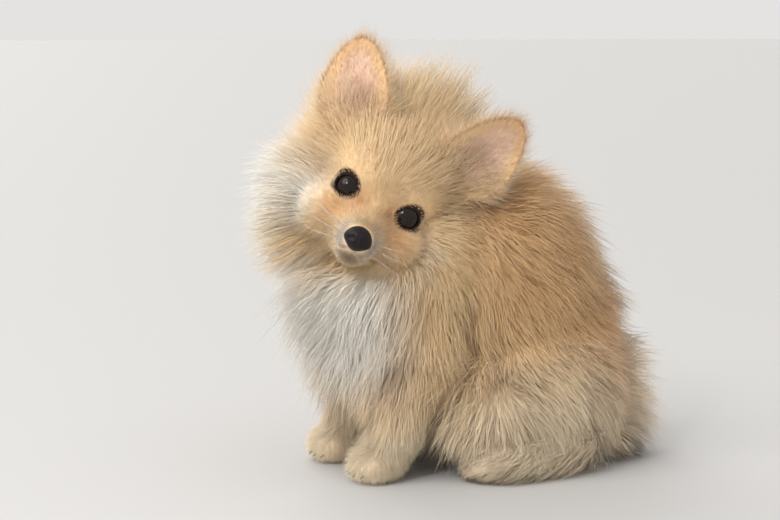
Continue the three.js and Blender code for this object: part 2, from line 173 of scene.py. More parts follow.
def blend(width, *forms):
    def field(p):
        nearest = forms[0](p)
        for form in forms[1:]:
            nearest = smooth_min(nearest, form(p), width)
        return nearest

    return field


def gradient(field, p, step=0.4):
    slopes = []
    for k in range(3):
        offset = np.zeros(3)
        offset[k] = step
        slopes.append(field(p + offset) - field(p - offset))
    return unit(np.stack(slopes, axis=1))


# Head axes: x is the puppy's left, y is out through the back of the head and z is up


def head_axes():
    gaze = vec(math.sin(TURN) * math.cos(RISE), -math.cos(TURN) * math.cos(RISE), math.sin(RISE))
    level = vec(math.cos(TURN), math.sin(TURN), 0)
    left = level * math.cos(TILT) - np.cross(gaze, level) * math.sin(TILT)
    back = -gaze
    return np.stack([left, back, np.cross(left, back)], axis=1)


HEAD_AXES = head_axes()


def to_head(p):
    return (p - EYE_LINE) @ HEAD_AXES


def from_head(q):
    return q @ HEAD_AXES.T + EYE_LINE


def on_head(field):
    return lambda p: field(to_head(p))


# The flesh of each part, and the surface that the tips of its coat reach

HEAD_FLESH = blend(
    7,
    ellipsoid(vec(0, 30, 13), vec(30, 31, 29)),
    ellipsoid(vec(0, 14, 9), vec(23, 17, 19)),
    ellipsoid(vec(17, 14, -13), vec(13, 17, 12)),
    ellipsoid(vec(-17, 14, -13), vec(13, 17, 12)),
    bone(vec(0, 4, -13), 13, vec(0, -12, -18), 8.6),
    bone(vec(0, 12, -19), 11, vec(0, -8, -24.5), 5),
)
HEAD_TIPS = ellipsoid(vec(0, 36, 9), vec(56, 38, 62))
FACE_WAY = on_head(bone(vec(0, 8, -5), 27, vec(0, -80, -5), 34))


def off_face(field):
    return lambda p: smooth_max(field(p), -FACE_WAY(p), 10)


TORSO_FLESH = blend(
    14,
    bone(vec(0, 28, 37), 38, vec(0, 8, 94), 36),
    bone(vec(0, -36, 58), 27, vec(0, -38, 86), 31),
)
TORSO_TIPS = off_face(
    blend(
        16,
        bone(vec(0, 29, 44), 54, vec(0, 14, 99), 47),
        bone(vec(0, -42, 54), 47, vec(-6, -48, 88), 50),
        ellipsoid(vec(28, -20, 30), vec(23, 26, 27)),
        ellipsoid(vec(-28, -20, 30), vec(23, 26, 27)),
    )
)
NECK_FLESH = bone(vec(0, -24, 98), 30, from_head(vec(0, 42, -6)), 34)
NECK_TIPS = off_face(
    blend(
        14,
        on_head(ellipsoid(vec(0, 47, 0), vec(63, 38, 58))),
        ellipsoid(vec(-10, -52, 104), vec(44, 54, 30)),
    )
)


def toes(middle, turn):
    forms = []
    for across in TOE_SPOTS:
        back = -3.5 + abs(across) * TOE_RETREAT
        reach = vec(
            across * math.cos(turn) - back * math.sin(turn),
            across * math.sin(turn) + back * math.cos(turn),
            0,
        )
        forms.append(ellipsoid(middle + reach, vec(*TOE_RADII)))
    return forms


def mirrored_joints(joints, side):
    return (vec(side, 1, 1) * vec(*point) for point in joints.values())


def fore_flesh(side):
    shoulder, elbow, wrist, paw = mirrored_joints(FORE, side)
    return blend(
        6,
        bone(shoulder, 13, elbow, 11.5),
        bone(elbow, 11.5, wrist, 8.8),
        bone(wrist, 8.8, paw, 9.2),
        *toes(vec(side, 1, 1) * FORE_TOES, 0),
    )


def thigh_flesh(side):
    hip, knee, _, _ = mirrored_joints(HIND, side)
    return blend(8, ellipsoid(hip, vec(19, 32, 31)), bone(hip, 18, knee, 16))


def foot_flesh(side):
    _, _, hock, paw = mirrored_joints(HIND, side)
    own_toes = toes(vec(side, 1, 1) * HIND_TOES, side * HIND_TOES_TURN)
    return blend(4, bone(hock, 8.5, paw, 8.6), *own_toes)


def grown(field, by):
    return lambda p: field(p) - by(p)


TAIL_FLESH = blend(4, *[bone(vec(*a), ra, vec(*b), rb) for (a, ra), (b, rb) in zip(TAIL, TAIL[1:])])
TAIL_TIPS = blend(
    8,
    ellipsoid(vec(10, 68, 34), vec(26, 30, 38)),
    ellipsoid(vec(28, 62, 16), vec(24, 26, 18)),
)


def head_lie(p):
    q = to_head(p)
    lie = unit(q - NOSE_TIP) + vec(0, 0.25, 0)
    lie[:, 2] -= 0.9 * smoothstep(q[:, 1], 34, 62)
    return lie @ HEAD_AXES.T


def ruff_lie(p):
    q = to_head(p)
    radial = unit(np.stack([q[:, 0], np.full(len(q), 12.0), q[:, 2] + 6], axis=1)) @ HEAD_AXES.T
    fall = lerp(0.35, 1.3, smoothstep(q[:, 1], 48, 66))
    return radial + vec(0, 0, -1) * fall[:, None]


def torso_lie(p):
    y = lerp(-0.4, 0.55, smoothstep(p[:, 1], -50, 10))
    return np.stack([0.2 * p[:, 0] / 30, y, np.full(len(p), -1.0)], axis=1)


def steady(*lie):
    return lambda p: np.tile(vec(*lie), (len(p), 1))


def tail_lie(p):
    return p - vec(-4, 42, 44)


def face_length(p):
    """The shortest fur of the head: close on the muzzle and longer away from it."""
    away = np.linalg.norm((to_head(p) - NOSE_TIP) * vec(1, 0.8, 1), axis=1)
    return 2.2 + 0.36 * np.maximum(away - 10, 0)


def even_length(length):
    return lambda p: np.full(len(p), float(length))


# name: flesh, tips, lie, how far the coat stands off it, and its shortest length
PARTS = {
    "head": (on_head(HEAD_FLESH), on_head(HEAD_TIPS), head_lie, 0.9, face_length),
    "neck": (NECK_FLESH, NECK_TIPS, ruff_lie, 1.0, even_length(9)),
    "torso": (TORSO_FLESH, TORSO_TIPS, torso_lie, 0.9, even_length(10)),
    "tail": (TAIL_FLESH, TAIL_TIPS, tail_lie, 0.8, even_length(9)),
}
for name, side in (("left", 1), ("right", -1)):
    fore, thigh, foot = fore_flesh(side), thigh_flesh(side), foot_flesh(side)
    PARTS["foreleg_" + name] = (
        fore,
        grown(fore, lambda p: lerp(3.5, 11, smoothstep(p[:, 2], 14, 50))),
        steady(side * 0.1, 0.1, -1),
        0.5,
        even_length(5),
    )
    PARTS["thigh_" + name] = (
        thigh,
        blend(
            8,
            ellipsoid(vec(side * 37, 15, 33), vec(26, 50, 43)),
            ellipsoid(vec(side * 44, 4, 16), vec(20, 42, 18)),
        ),
        steady(side * 0.1, 0.25, -1),
        0.8,
        even_length(9),
    )
    PARTS["foot_" + name] = (
        foot,
        grown(foot, lambda p: lerp(5, 10, smoothstep(p[:, 1], -20, 0))),
        steady(0, -1, -0.3),
        0.4,
        even_length(7),
    )


# Eyes are seated as in the solids, where the face lets the right disc of eyeball show


def eye_gaze(side):
    return unit(vec(side * 0.24, -1, -0.02))


def core_field(q):
    return np.minimum(HEAD_FLESH(q) - SHORT, lerp(HEAD_FLESH(q), HEAD_TIPS(q), CORE_SHARE))


def eye_centre(side):
    out = eye_gaze(side)
    steps = np.arange(0, 40, 0.1)[:, None]
    line = vec(side * (EYE_APART - 3), 14, 0) + steps * out
    surface = line[np.argmax(core_field(line) >= 0)]
    return surface - out * (math.sqrt(EYE_R**2 - EYE_OPEN_R**2) + EYE_SEAT)


EYES = {side: eye_centre(side) for side in (1, -1)}


def box_middle(node):
    low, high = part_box(node)
    return (np.array(low) + np.array(high)) / 2


# The part stands with its origin under its middle: how far that is from the axes used here
BETWEEN_EYES = from_head((EYES[1] + EYES[-1]) / 2)
OFFSET = (box_middle("eye_left") + box_middle("eye_right")) / 2 - BETWEEN_EYES * MM


def metres(p):
    return p * MM + OFFSET


# Markings, shared by skin and coat


def srgb(*levels):
    c = np.array(levels) / 255
    return np.where(c <= 0.04045, c / 12.92, ((c + 0.055) / 1.055) ** 2.4)


GOLD = srgb(247, 209, 156)
TAN = srgb(238, 200, 156)
BACK = srgb(238, 184, 122)
ORANGE = srgb(216, 150, 98)
CREAM = srgb(252, 230, 198)
WHITE = srgb(255, 247, 236)
GREY_CREAM = srgb(226, 208, 186)
DARK = srgb(56, 36, 28)
PINK = srgb(240, 204, 182)
# The ear canal's colour: its reddish skin, darkened as painted shade of the opening
CANAL_SKIN_AND_SHADE = srgb(178, 118, 96)


def spot(p, centre, radii):
    return np.exp(-(((p - centre) / radii) ** 2).sum(axis=1))


def drift(p, scale, phase):
    """A slow wave through space, from -1 to 1, for uneven colour and tousled fur."""
    x, y, z = (p / scale).T
    waves = (x + 1.7 * np.sin(y + phase), y * 1.3 + 1.4 * np.sin(z - phase), z * 1.1 + x)
    return sum(np.sin(wave) for wave in waves) / 3


def markings(p):
    q = to_head(p)
    mirrored = q.copy()
    mirrored[:, 0] = np.abs(q[:, 0])
    colour = np.tile(GOLD, (len(p), 1))

    def paint(tone, amount):
        nonlocal colour
        colour = lerp(colour, tone, np.clip(amount, 0, 1)[:, None])

    x, y, z = p.T
    body = smoothstep(PARTS["head"][0](p), 0, 10)
    paint(BACK, body * 0.75 * smoothstep(z + 0.5 * y, 45, 100) * smoothstep(y, -34, 6))
    paint(CREAM, body * smoothstep(64 - z + 0.2 * y, 0, 36) * 0.85)
    paint(WHITE, body * smoothstep(-y - 0.35 * np.maximum(x, 0), 24, 54) * smoothstep(z, 34, 70))
    paint(BACK, 0.8 * spot(p, vec(0, 62, 60), vec(60, 22, 28)))
    paint(CREAM, 0.9 * smoothstep(-TAIL_FLESH(p), -6, 4) * smoothstep(y, 50, 64))
    paint(ORANGE, 0.75 * spot(p, vec(24, 50, 56), vec(22, 11, 15)))
    head = 1 - body
    sides = smoothstep(mirrored[:, 0], 18, 34) * smoothstep(-q[:, 2], -16, 14)
    paint(CREAM, head * 0.8 * sides)
    paint(WHITE, head * smoothstep(-q[:, 0], 18, 34) * smoothstep(-q[:, 2], -14, 12))
    paint(TAN, head * 0.5 * spot(mirrored, vec(10, 0, 14), vec(16, 14, 14)))
    paint(ORANGE, head * 0.7 * spot(mirrored, vec(14, 2, -11), vec(7, 14, 5)))
    paint(ORANGE, head * 0.65 * spot(mirrored, vec(7, 0, -4), vec(4, 12, 6)))
    paint(GREY_CREAM, head * 1.3 * spot(mirrored, vec(5, -13, -20), vec(9, 9, 7)))
    paint(DARK, head * 0.5 * spot(mirrored, vec(0, -14, -10.5), vec(7, 8, 3)))
    paint(DARK, head * 0.4 * spot(mirrored, vec(8, -17, -18), vec(3, 5, 6)))
    paint(DARK, head * 0.85 * spot(mirrored, vec(0, -17, -27), vec(6, 7, 3)))
    for side in (1, -1):
        away = np.linalg.norm(q - EYES[side], axis=1)
        paint(DARK, 0.5 * smoothstep(away, EYE_R + 2.4, EYE_R + 1.2))
        paint(DARK, 0.55 * spot(q, EYES[side] + vec(-side * 7.5, -3, -3.5), vec(3, 8, 2)))
    tone = 1 + 0.07 * drift(p, 9, 0.4) + 0.04 * drift(p, 4, 2.0)
    return colour * tone[:, None]


# Meshes


def surface_nets(field, low, high, step):
    """The zero surface of a field as points and quads, one point in each crossed cell of a grid."""
    axes = [np.arange(a, b + step, step) for a, b in zip(low, high)]
    shape = np.array([len(a) for a in axes])
    grid = np.stack(np.meshgrid(*axes, indexing="ij"), axis=-1).reshape(-1, 3)
    parts = np.array_split(grid, len(grid) // GRID_SHARE + 1)
    values = np.concatenate([field(part) for part in parts]).reshape(shape)
    cells = shape - 1
    total = np.zeros((int(cells.prod()), 4))
    rings = []
    for k in range(3):
        u, v = (k + 1) % 3, (k + 2) % 3
        near = np.take(values, range(shape[k] - 1), axis=k)
        far = np.take(values, range(1, shape[k]), axis=k)
        where = np.argwhere((near < 0) != (far < 0))
        at = tuple(where.T)
        point = where.astype(float)
        point[:, k] += near[at] / (near[at] - far[at])
        ring = []
        for du, dv in ((1, 1), (0, 1), (0, 0), (1, 0)):
            cell = where.copy()
            cell[:, u] -= du
            cell[:, v] -= dv
            flat = (cell[:, 0] * cells[1] + cell[:, 1]) * cells[2] + cell[:, 2]
            ring.append(flat)
            for c in range(3):
                total[:, c] += np.bincount(flat, point[:, c], len(total))
            total[:, 3] += np.bincount(flat, minlength=len(total))
        ring = np.stack(ring, axis=1)
        inward = near[at] > 0
        ring[inward] = ring[inward][:, ::-1]
        rings.append(ring)
    used = total[:, 3] > 0
    number = np.cumsum(used) - 1
    points = total[used, :3] / total[used, 3:] * step + np.array([a[0] for a in axes])
    return points, number[np.concatenate(rings)]


def settled(field, points, rounds=3):
    for _ in range(rounds):
        points = points - gradient(field, points) * field(points)[:, None]
    return points


def mesh_object(name, points, faces):
    """A mesh object from points in metres and faces that all have as many corners."""
    mesh = bpy.data.meshes.new(name)
    corners = faces.shape[1]
    mesh.vertices.add(len(points))
    mesh.loops.add(faces.size)
    mesh.polygons.add(len(faces))
    mesh.vertices.foreach_set("co", np.ascontiguousarray(points, dtype=np.float32).ravel())
    mesh.loops.foreach_set("vertex_index", np.ascontiguousarray(faces, dtype=np.int32).ravel())
    mesh.polygons.foreach_set("loop_start", np.arange(0, faces.size, corners, dtype=np.int32))
    mesh.polygons.foreach_set("use_smooth", np.full(len(faces), True))
    mesh.update(calc_edges=True)
    piece = bpy.data.objects.new(name, mesh)
    bpy.context.scene.collection.objects.link(piece)
    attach(piece, "root")
    return piece


def colour_points(piece, colours):
    layer = piece.data.color_attributes.new("Coat", "FLOAT_COLOR", "POINT")
    rgba = np.ones((len(piece.data.vertices), 4), np.float32)
    rgba[:, :3] = np.clip(colours, 0, 1)
    layer.data.foreach_set("color", rgba.ravel())


# Materials


class Finish:
    """A material, with helpers that feed its shader from textures in the object's own coordinates."""

    def __init__(self, name):
        self.material = bpy.data.materials.new(name)
        self.material.use_nodes = True
        self.nodes, self.links = self.material.node_tree.nodes, self.material.node_tree.links
        self.inputs = self.nodes["Principled BSDF"].inputs

    def set(self, **values):
        for name, value in values.items():
            self.inputs[name.replace("_", " ")].default_value = value

    def texture(self, kind, scale, output, detail=None):
        node = self.nodes.new(kind)
        node.inputs["Scale"].default_value = scale
        if detail is not None:
            node.inputs["Detail"].default_value = detail
        place = self.nodes.new("ShaderNodeTexCoord").outputs["Object"]
        self.links.new(place, node.inputs["Vector"])
        return node.outputs[output]

    def noise(self, scale, detail=3):
        return self.texture("ShaderNodeTexNoise", scale, "Fac", detail)

    def between(self, source, low, high):
        node = self.nodes.new("ShaderNodeMapRange")
        node.inputs["To Min"].default_value = low
        node.inputs["To Max"].default_value = high
        self.links.new(source, node.inputs["Value"])
        return node.outputs["Result"]

    def colour(self, source, dark, light):
        ramp = self.nodes.new("ShaderNodeValToRGB")
        for element, tone in zip(ramp.color_ramp.elements, (dark, light)):
            element.color = (*tone, 1)
        self.links.new(source, ramp.inputs["Fac"])
        self.links.new(ramp.outputs["Color"], self.inputs["Base Color"])

    def bump(self, source, height, strength, invert=False):
        node = self.nodes.new("ShaderNodeBump")
        node.invert = invert
        node.inputs["Distance"].default_value = height
        node.inputs["Strength"].default_value = strength
        self.links.new(source, node.inputs["Height"])
        self.links.new(node.outputs["Normal"], self.inputs["Normal"])


def coat_finish(name, roughness, bump_scale, bump_height, variation):
    """The coat's own colours from the mesh, with noise in tone, roughness and height."""
    finish = Finish(name)
    tone = finish.noise(260)
    colour = finish.nodes.new("ShaderNodeAttribute")
    colour.attribute_name = "Coat"
    mixed = finish.nodes.new("ShaderNodeVectorMath")
    mixed.operation = "SCALE"
    finish.links.new(colour.outputs["Color"], mixed.inputs[0])
    finish.links.new(finish.between(tone, 1 - variation, 1 + variation), mixed.inputs["Scale"])
    finish.links.new(mixed.outputs["Vector"], finish.inputs["Base Color"])
    finish.links.new(finish.between(tone, roughness - 0.12, roughness + 0.12), finish.inputs["Roughness"])
    finish.bump(finish.noise(bump_scale, 4), bump_height, 0.5)
    finish.set(Specular_IOR_Level=0.25)
    return finish


FUR = coat_finish("fur", 0.72, 1400, 0.0002, 0.1)
FUR.set(Sheen_Weight=0.3, Sheen_Roughness=0.4, Sheen_Tint=(1, 0.93, 0.84, 1))
SKIN = coat_finish("short_fur", 0.8, 1800, 0.0006, 0.12)


# Skin: a fine shell for the head and a coarser one for the body, which overlap inside the neck

MOUTH = []
for s in (-1, -0.6, -0.22, 0, 0.22, 0.6, 1):
    inner = vec(0, 4, -20)
    ray = unit(vec(s * 15, -19 + 17 * s * s, -25 + 2.2 * math.exp(-s * s * 18)) - inner)
    line = inner + np.arange(0, 40, 0.1)[:, None] * ray
    MOUTH.append(line[np.argmax(HEAD_FLESH(line) >= 0)])


def to_path(p, path):
    return np.min([bone(a, 0, b, 0)(p) for a, b in zip(path, path[1:])], axis=0)


def lid(side):
    """Both lids of an eye as one rounded rim, wider than high."""
    out = eye_gaze(side)
    across = unit(np.cross(out, vec(0, 0, 1)))
    over = np.cross(across, out)
    middle = EYES[side] + out * (math.sqrt(EYE_R**2 - EYE_OPEN_R**2) + 0.2)

    def field(q):
        d = q - middle
        radial = np.hypot(d @ across / 1.06, d @ over / 0.92)
        return np.hypot(radial - EYE_OPEN_R - LID_OUT, d @ out) - LID_ROLL

    return field


LIDS = {side: lid(side) for side in (1, -1)}


def face_skin(q):
    form = HEAD_FLESH(q)
    for side in (1, -1):
        form = smooth_min(form, LIDS[side](q), 1.4)
    return smooth_max(form, LIP_CUT - to_path(q, MOUTH), 0.8)


def body_skin(p):
    forms = [flesh for name, (flesh, *_) in PARTS.items() if name != "head"]
    return np.maximum(blend(6, *forms)(p), SOLE - p[:, 2])


head_points, head_faces = surface_nets(face_skin, *HEAD_BOX, HEAD_STEP)
head_points = settled(face_skin, head_points)
body_points, body_faces = surface_nets(body_skin, *BODY_BOX, BODY_STEP)
body_points = settled(body_skin, body_points, 2)
body_points[:, 2] = np.maximum(body_points[:, 2], SOLE)


def ball_grid(rows, columns):
    """Angles from the pole and round it for a grid of points over a ball."""
    round_it = np.linspace(0, 2 * math.pi, columns, endpoint=False)
    polar, turn = np.meshgrid(np.linspace(0, math.pi, rows), round_it, indexing="ij")
    return polar.ravel(), turn.ravel()


def grid_quads(rows, columns, flip=False):
    """Quads that join a grid of points whose rows go full circle."""
    grid = np.arange(rows * columns).reshape(rows, columns)
    near, far = grid[:-1], grid[1:]
    corners = [near, far, np.roll(far, -1, 1), np.roll(near, -1, 1)]
    if flip:
        corners = [corners[k] for k in (0, 3, 2, 1)]
    return np.stack(corners, axis=-1).reshape(-1, 4)


def ear_shell(side, rows=40, columns=56):
    """A ball pressed into a leaf and curled forward along both edges, in the head's axes."""
    polar, turn = ball_grid(rows, columns)
    a = np.sin(polar) * np.sin(turn)
    s = np.cos(polar)
    t = np.sin(polar) * np.cos(turn)
    wide = 1 + 0.25 * smoothstep(-s, -0.6, 0.6) - 0.1 * smoothstep(s, 0.2, 1)
    x = a * EAR["across"] * wide
    y = -t * EAR["thick"] / 2 - EAR["cup"] * a * a * (1 - 0.35 * s) * 0.8
    leaf = np.stack([x, y, s * EAR["high"]], axis=1)
    turns = vec(*EAR_TURNS) * vec(1, side, side)
    (cx, sx), (cy, sy), (cz, sz) = ((math.cos(angle), math.sin(angle)) for angle in turns)
    about_x = np.array([[1, 0, 0], [0, cx, -sx], [0, sx, cx]])
    about_y = np.array([[cy, 0, sy], [0, 1, 0], [-sy, 0, cy]])
    about_z = np.array([[cz, -sz, 0], [sz, cz, 0], [0, 0, 1]])
    placed = leaf @ (about_z @ about_y @ about_x).T + vec(side, 1, 1) * vec(*EAR["at"])
    return placed, grid_quads(rows, columns), np.stack([a, s, t], axis=1)


def ear_markings(shape, side):
    """Golden outside and on the rim, pink in the cup, and low on its inner side the canal: reddish skin
    with painted shade of its opening.
    """
    a, s, t = shape.T
    cup = smoothstep(t, 0.0, 0.35) * smoothstep(0.8 - np.hypot(a, 0.9 * (s - 0.05)), 0, 0.35)
    colour = lerp(GOLD, ORANGE, 0.35 * smoothstep(s, 0.2, 0.9)[:, None])
    colour = lerp(colour, PINK, 0.85 * cup[:, None])
    # Painted shade: the canal's reddish skin, darkened where its opening would be, because the shell has
    # no opening
    canal = np.exp(-(((a + side * 0.15) / 0.34) ** 2) - ((s + 0.2) / 0.3) ** 2) * (t > 0)
    return lerp(colour, CANAL_SKIN_AND_SHADE, 0.85 * canal[:, None])


shells = {"head": (from_head(head_points), head_faces), "body": (body_points, body_faces)}
ear_shapes = {}
for name, side in EARS:
    points, faces, shape = ear_shell(side)
    shells[name] = (from_head(points), faces)
    ear_shapes[name] = shape

all_points = np.concatenate([points for points, _ in shells.values()])
starts = np.cumsum([0] + [len(points) for points, _ in shells.values()])
all_faces = np.concatenate([faces + start for (_, faces), start in zip(shells.values(), starts)])
skin_colours = markings(all_points)
for k, (name, side) in enumerate(EARS, 2):
    skin_colours[starts[k] : starts[k + 1]] = ear_markings(ear_shapes[name], side)
bare_colours = skin_colours.copy()  # the skin's own, with the lids' dark rims
for side in (1, -1):
    away = np.linalg.norm(to_head(all_points) - EYES[side], axis=1)
    bare_colours = lerp(bare_colours, DARK * 0.6, smoothstep(away, EYE_R + 1.9, EYE_R + 1.4)[:, None])
skin = mesh_object("skin", metres(all_points), all_faces)
colour_points(skin, bare_colours)
skin.data.materials.append(SKIN.material)
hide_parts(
    *("head", "neck", "torso", "tail", "ear_left", "ear_right"),
    *("foreleg_left", "foreleg_right", "hindleg_left", "hindleg_right"),
)


def unwrap(piece):
    """Lays the piece's own surface out flat as the map that the coat's colours are baked on."""
    piece.data.uv_layers.new(name="OFBake")
    bpy.context.view_layer.objects.active = piece
    piece.select_set(True)
    bpy.ops.object.mode_set(mode="EDIT")
    bpy.ops.mesh.select_all(action="SELECT")
    bpy.ops.uv.smart_project(angle_limit=math.radians(66), island_margin=0.001)
    bpy.ops.object.mode_set(mode="OBJECT")
    piece.select_set(False)
    uv = np.empty(len(piece.data.loops) * 2, np.float32)
    piece.data.uv_layers["OFBake"].data.foreach_get("uv", uv)
    return uv.reshape(-1, 4, 2)


skin_uv = unwrap(skin)


# Coat: roots are drawn over the skin by area, and each tuft reaches towards the surface of the tips


class Roots:
    """Points on the skin with their outward normals, colours and places on the bake map."""

    def __init__(self, first, last, weight, count):
        quads = all_faces[first:last]
        uv = skin_uv[first:last]
        a, b, c, d = (all_points[quads[:, k]] for k in range(4))
        area = np.linalg.norm(np.cross(c - a, d - b), axis=1) / 2
        share = area * weight((a + c) / 2)
        pick = rng.choice(len(quads), count, p=share / share.sum())
        s, t = rng.random((2, count, 1))
        mix = [(1 - s) * (1 - t), s * (1 - t), s * t, (1 - s) * t]
        self.p = sum(m * corner[pick] for m, corner in zip(mix, (a, b, c, d)))
        self.uv = sum(m * uv[pick, k] for k, m in enumerate(mix))
        self.n = unit(np.cross((c - a)[pick], (d - b)[pick]))
        self.colour = sum(m * skin_colours[quads[pick, k]] for k, m in enumerate(mix))

    def keep(self, which):
        self.p, self.uv, self.n, self.colour = (v[which] for v in (self.p, self.uv, self.n, self.colour))

    def some(self, which):
        part = copy.copy(self)
        part.keep(which)
        return part


FACE_STARTS = np.cumsum([0] + [len(faces) for _, faces in shells.values()])
FLESH = {name: part[0] for name, part in PARTS.items()}


def march(field, p, way, rounds=12):
    """How far along a way a field's zero surface is, from inside it."""
    far = np.zeros(len(p))
    for _ in range(rounds):
        far += np.clip(-field(p + way * far[:, None]), -1, 12) * 0.9
    return np.clip(far, 0, FARTHEST)


def part_weights(p):
    """How much each part's coat counts at a point, blended where parts meet."""
    near = np.stack([np.maximum(flesh(p), 0) for flesh in FLESH.values()], axis=1)
    weights = np.exp(-near / PART_BLEND)
    return weights / weights.sum(axis=1, keepdims=True)


def depth(p):
    """Depth of the coat over points of the skin."""
    weights = part_weights(p)
    depths = (np.maximum(-tips(p), 0) for _, tips, *_ in PARTS.values())
    return sum(weight * deep for weight, deep in zip(weights.T, depths))


def combed(p, n, share):
    """Which way and how far each tuft reaches: a share of the way to the tips, leaning to the lie."""
    weights = part_weights(p)
    reach = np.zeros_like(p)
    for k, (_, tips, comb, stand, least) in enumerate(PARTS.values()):
        used = weights[:, k] > LEAST_WEIGHT
        root, out, part = p[used], n[used], share[used]
        lie = comb(root)
        lie = unit(lie - (lie * out).sum(axis=1, keepdims=True) * out)
        high = march(tips, root, out)
        goal = np.minimum(tips(root), 0) * (1 - part)
        lean = np.minimum(high * part / stand, MOST_LEAN)
        tip = root + out * (high * part)[:, None] + lie * lean[:, None]
        for _ in range(3):
            miss = np.clip(tips(tip) - goal, -6, 6)
            tip = tip - gradient(tips, tip) * miss[:, None]
        way = tip - root
        short = least(root) * np.clip(part, 0.6, 1.1)
        shortest = unit(lie + out * 0.4) * short[:, None]
        thin = smoothstep(high / short, 1.0, 0.5)[:, None]
        reach[used] += weights[used, k : k + 1] * lerp(way, shortest, thin)
    return reach


def tufts(p, n, reach, width, rings):
    """Corners of closed three-sided spikes that leave the skin and bend to their tips."""
    count = len(p)
    length = np.linalg.norm(reach, axis=1)[:, None]
    out = np.maximum((reach * n).sum(axis=1, keepdims=True), 0.15 * length)
    side = unit(np.cross(reach, n) + 0.35 * length * rng.standard_normal((count, 3)))
    start = p - n * SINK
    bend = p + n * out * 0.55 + reach * 0.25 + side * length * 0.1 * rng.standard_normal((count, 1))
    end = p + reach
    corners = []
    shares = {1: (0,), 2: (0, 0.55), 3: (0, 0.38, 0.74)}[rings]
    for t in shares:
        at = (1 - t) ** 2 * start + 2 * t * (1 - t) * bend + t * t * end
        along = unit((1 - t) * (bend - start) + t * (end - bend))
        over = unit(np.cross(side, along))
        across = np.cross(along, over)
        r = (width * (0.8 + 0.9 * t - 1.4 * t * t))[:, None]
        for k in range(3):
            angle = 2 * math.pi * k / 3
            corners.append(at + r * (math.sin(angle) * across + 0.6 * math.cos(angle) * over))
    corners.append(end)
    points = np.stack(corners, axis=1)
    points[:, :, 2] = np.maximum(points[:, :, 2], FLOOR_GAP)
    return points


def tuft_faces(rings):
    faces = [(0, 2, 1)]
    for r in range(rings - 1):
        for k in range(3):
            a, b = 3 * r + k, 3 * r + (k + 1) % 3
            faces += [(a, b, b + 3), (a, b + 3, a + 3)]
    top = 3 * (rings - 1)
    faces += [(top + k, top + (k + 1) % 3, 3 * rings) for k in range(3)]
    return np.array(faces)


def clumped(p, reach, pull):
    """Reaches changed so that tips draw together in clumps, as soft hair hangs in locks."""
    lead = rng.choice(len(p), max(len(p) // CLUMP, 1), replace=False)
    tree = kdtree.KDTree(len(lead))
    for i, k in enumerate(lead):
        tree.insert(Vector(p[k]), i)
    tree.balance()
    nearest = lead[np.array([tree.find(Vector(q))[1] for q in p])]
    tip, lead_tip = p + reach, (p + reach)[nearest]
    return reach + pull[:, None] * (lead_tip - tip + 0.3 * (p - p[nearest]))


def coat_pieces(name, roots, reach, width, rings, slot, pale=0.2, vary=0.1, soft=True):
    """The tufts of one region as closed meshes, each under the limit of triangles.

    Light falls on a soft tuft as on the coat round it, so that single tufts don't stand out.
    """
    template = tuft_faces(rings)
    most = PIECE_TRIANGLES // len(template)
    along = np.repeat(np.linspace(0, 1, rings + 1)[:-1], 3).tolist() + [1.0]
    total = len(roots.p)
    for number, first in enumerate(range(0, total, most)):
        here = slice(first, first + most)
        points = tufts(roots.p[here], roots.n[here], reach[here], width[here], rings)
        count, corners = points.shape[:2]
        faces = (template[None] + corners * np.arange(count)[:, None, None]).reshape(-1, 3)
        own_name = f"{name}_{number}" if total > most else name
        piece = mesh_object(own_name, metres(points.reshape(-1, 3)), faces)
        if soft:
            piece.data.normals_split_custom_set_from_vertices(np.repeat(roots.n[here], corners, axis=0))
        colour = roots.colour[here] * rng.uniform(1 - vary, 1 + 0.8 * vary, (count, 1))
        t = np.array(along)[None, :, None]
        # Painted light: each tuft grows up to 5% lighter towards its tip, and paler towards white by pale,
        # because the coat's outer ends catch more light than its roots
        root_to_tip = colour[:, None] * lerp(1.0, 1.05, t)
        root_to_tip = lerp(root_to_tip, WHITE * 0.98, pale * t**2)
        colour_points(piece, root_to_tip.reshape(-1, 3))
        patch = np.stack([np.tile([0.0, 0.5, 1.0], rings).tolist() + [0.5], along], axis=1) - 0.5
        uvs = roots.uv[here][:, None] + PATCH * patch[None]
        layer = piece.data.uv_layers.new(name="OFBake")
        layer.data.foreach_set("uv", uvs.reshape(-1, 2)[faces.ravel()].astype(np.float32).ravel())
        piece.data.materials.append(FUR.material)


def bare(roots):
    """Drops roots inside another part, in the eyes and mouth or under the nose."""
    q = to_head(roots.p)
    deep = np.stack([flesh(roots.p) for flesh in FLESH.values()]).min(axis=0) < -BURIED
    for side in (1, -1):
        deep |= np.linalg.norm(q - EYES[side], axis=1) < EYE_R + EYE_MARGIN
    deep |= to_path(q, MOUTH) < LIP_MARGIN
    deep |= np.linalg.norm((q - NOSE_AT) / vec(*NOSE_MARGIN), axis=1) < 1
    roots.keep(~deep)


names = list(PARTS)
REGIONS = {
    "head": (("head",), "coat_gold"),
    "ruff": (("neck",), "coat_white"),
    "body": (("torso",), "coat_gold"),
    "legs": (tuple(k for k in names if "_" in k), "coat_cream"),
    "tail": (("tail",), "coat_cream"),
}


def swirl(p):
    """Slow changes in the way of the coat, so that it lies in soft tousled waves."""
    return np.stack([drift(p, 7, phase) for phase in (0.3, 1.9, 4.1)], axis=1)


def long_amount(p):
    """How much of the coat at a point is long: most of it, but little on the face and feet."""
    by_length = smoothstep(face_length(p), 6.5, 10) * (p[:, 2] > 60)
    return 0.02 + np.maximum(smoothstep(depth(p), 3, 8), by_length)


def short_amount(p):
    return (1.021 - long_amount(p)) * (1 + 2.5 * near_nose(p))


def near_nose(p):
    return spot(to_head(p), NOSE_TIP + vec(0, 4, -2), vec(13, 14, 11))


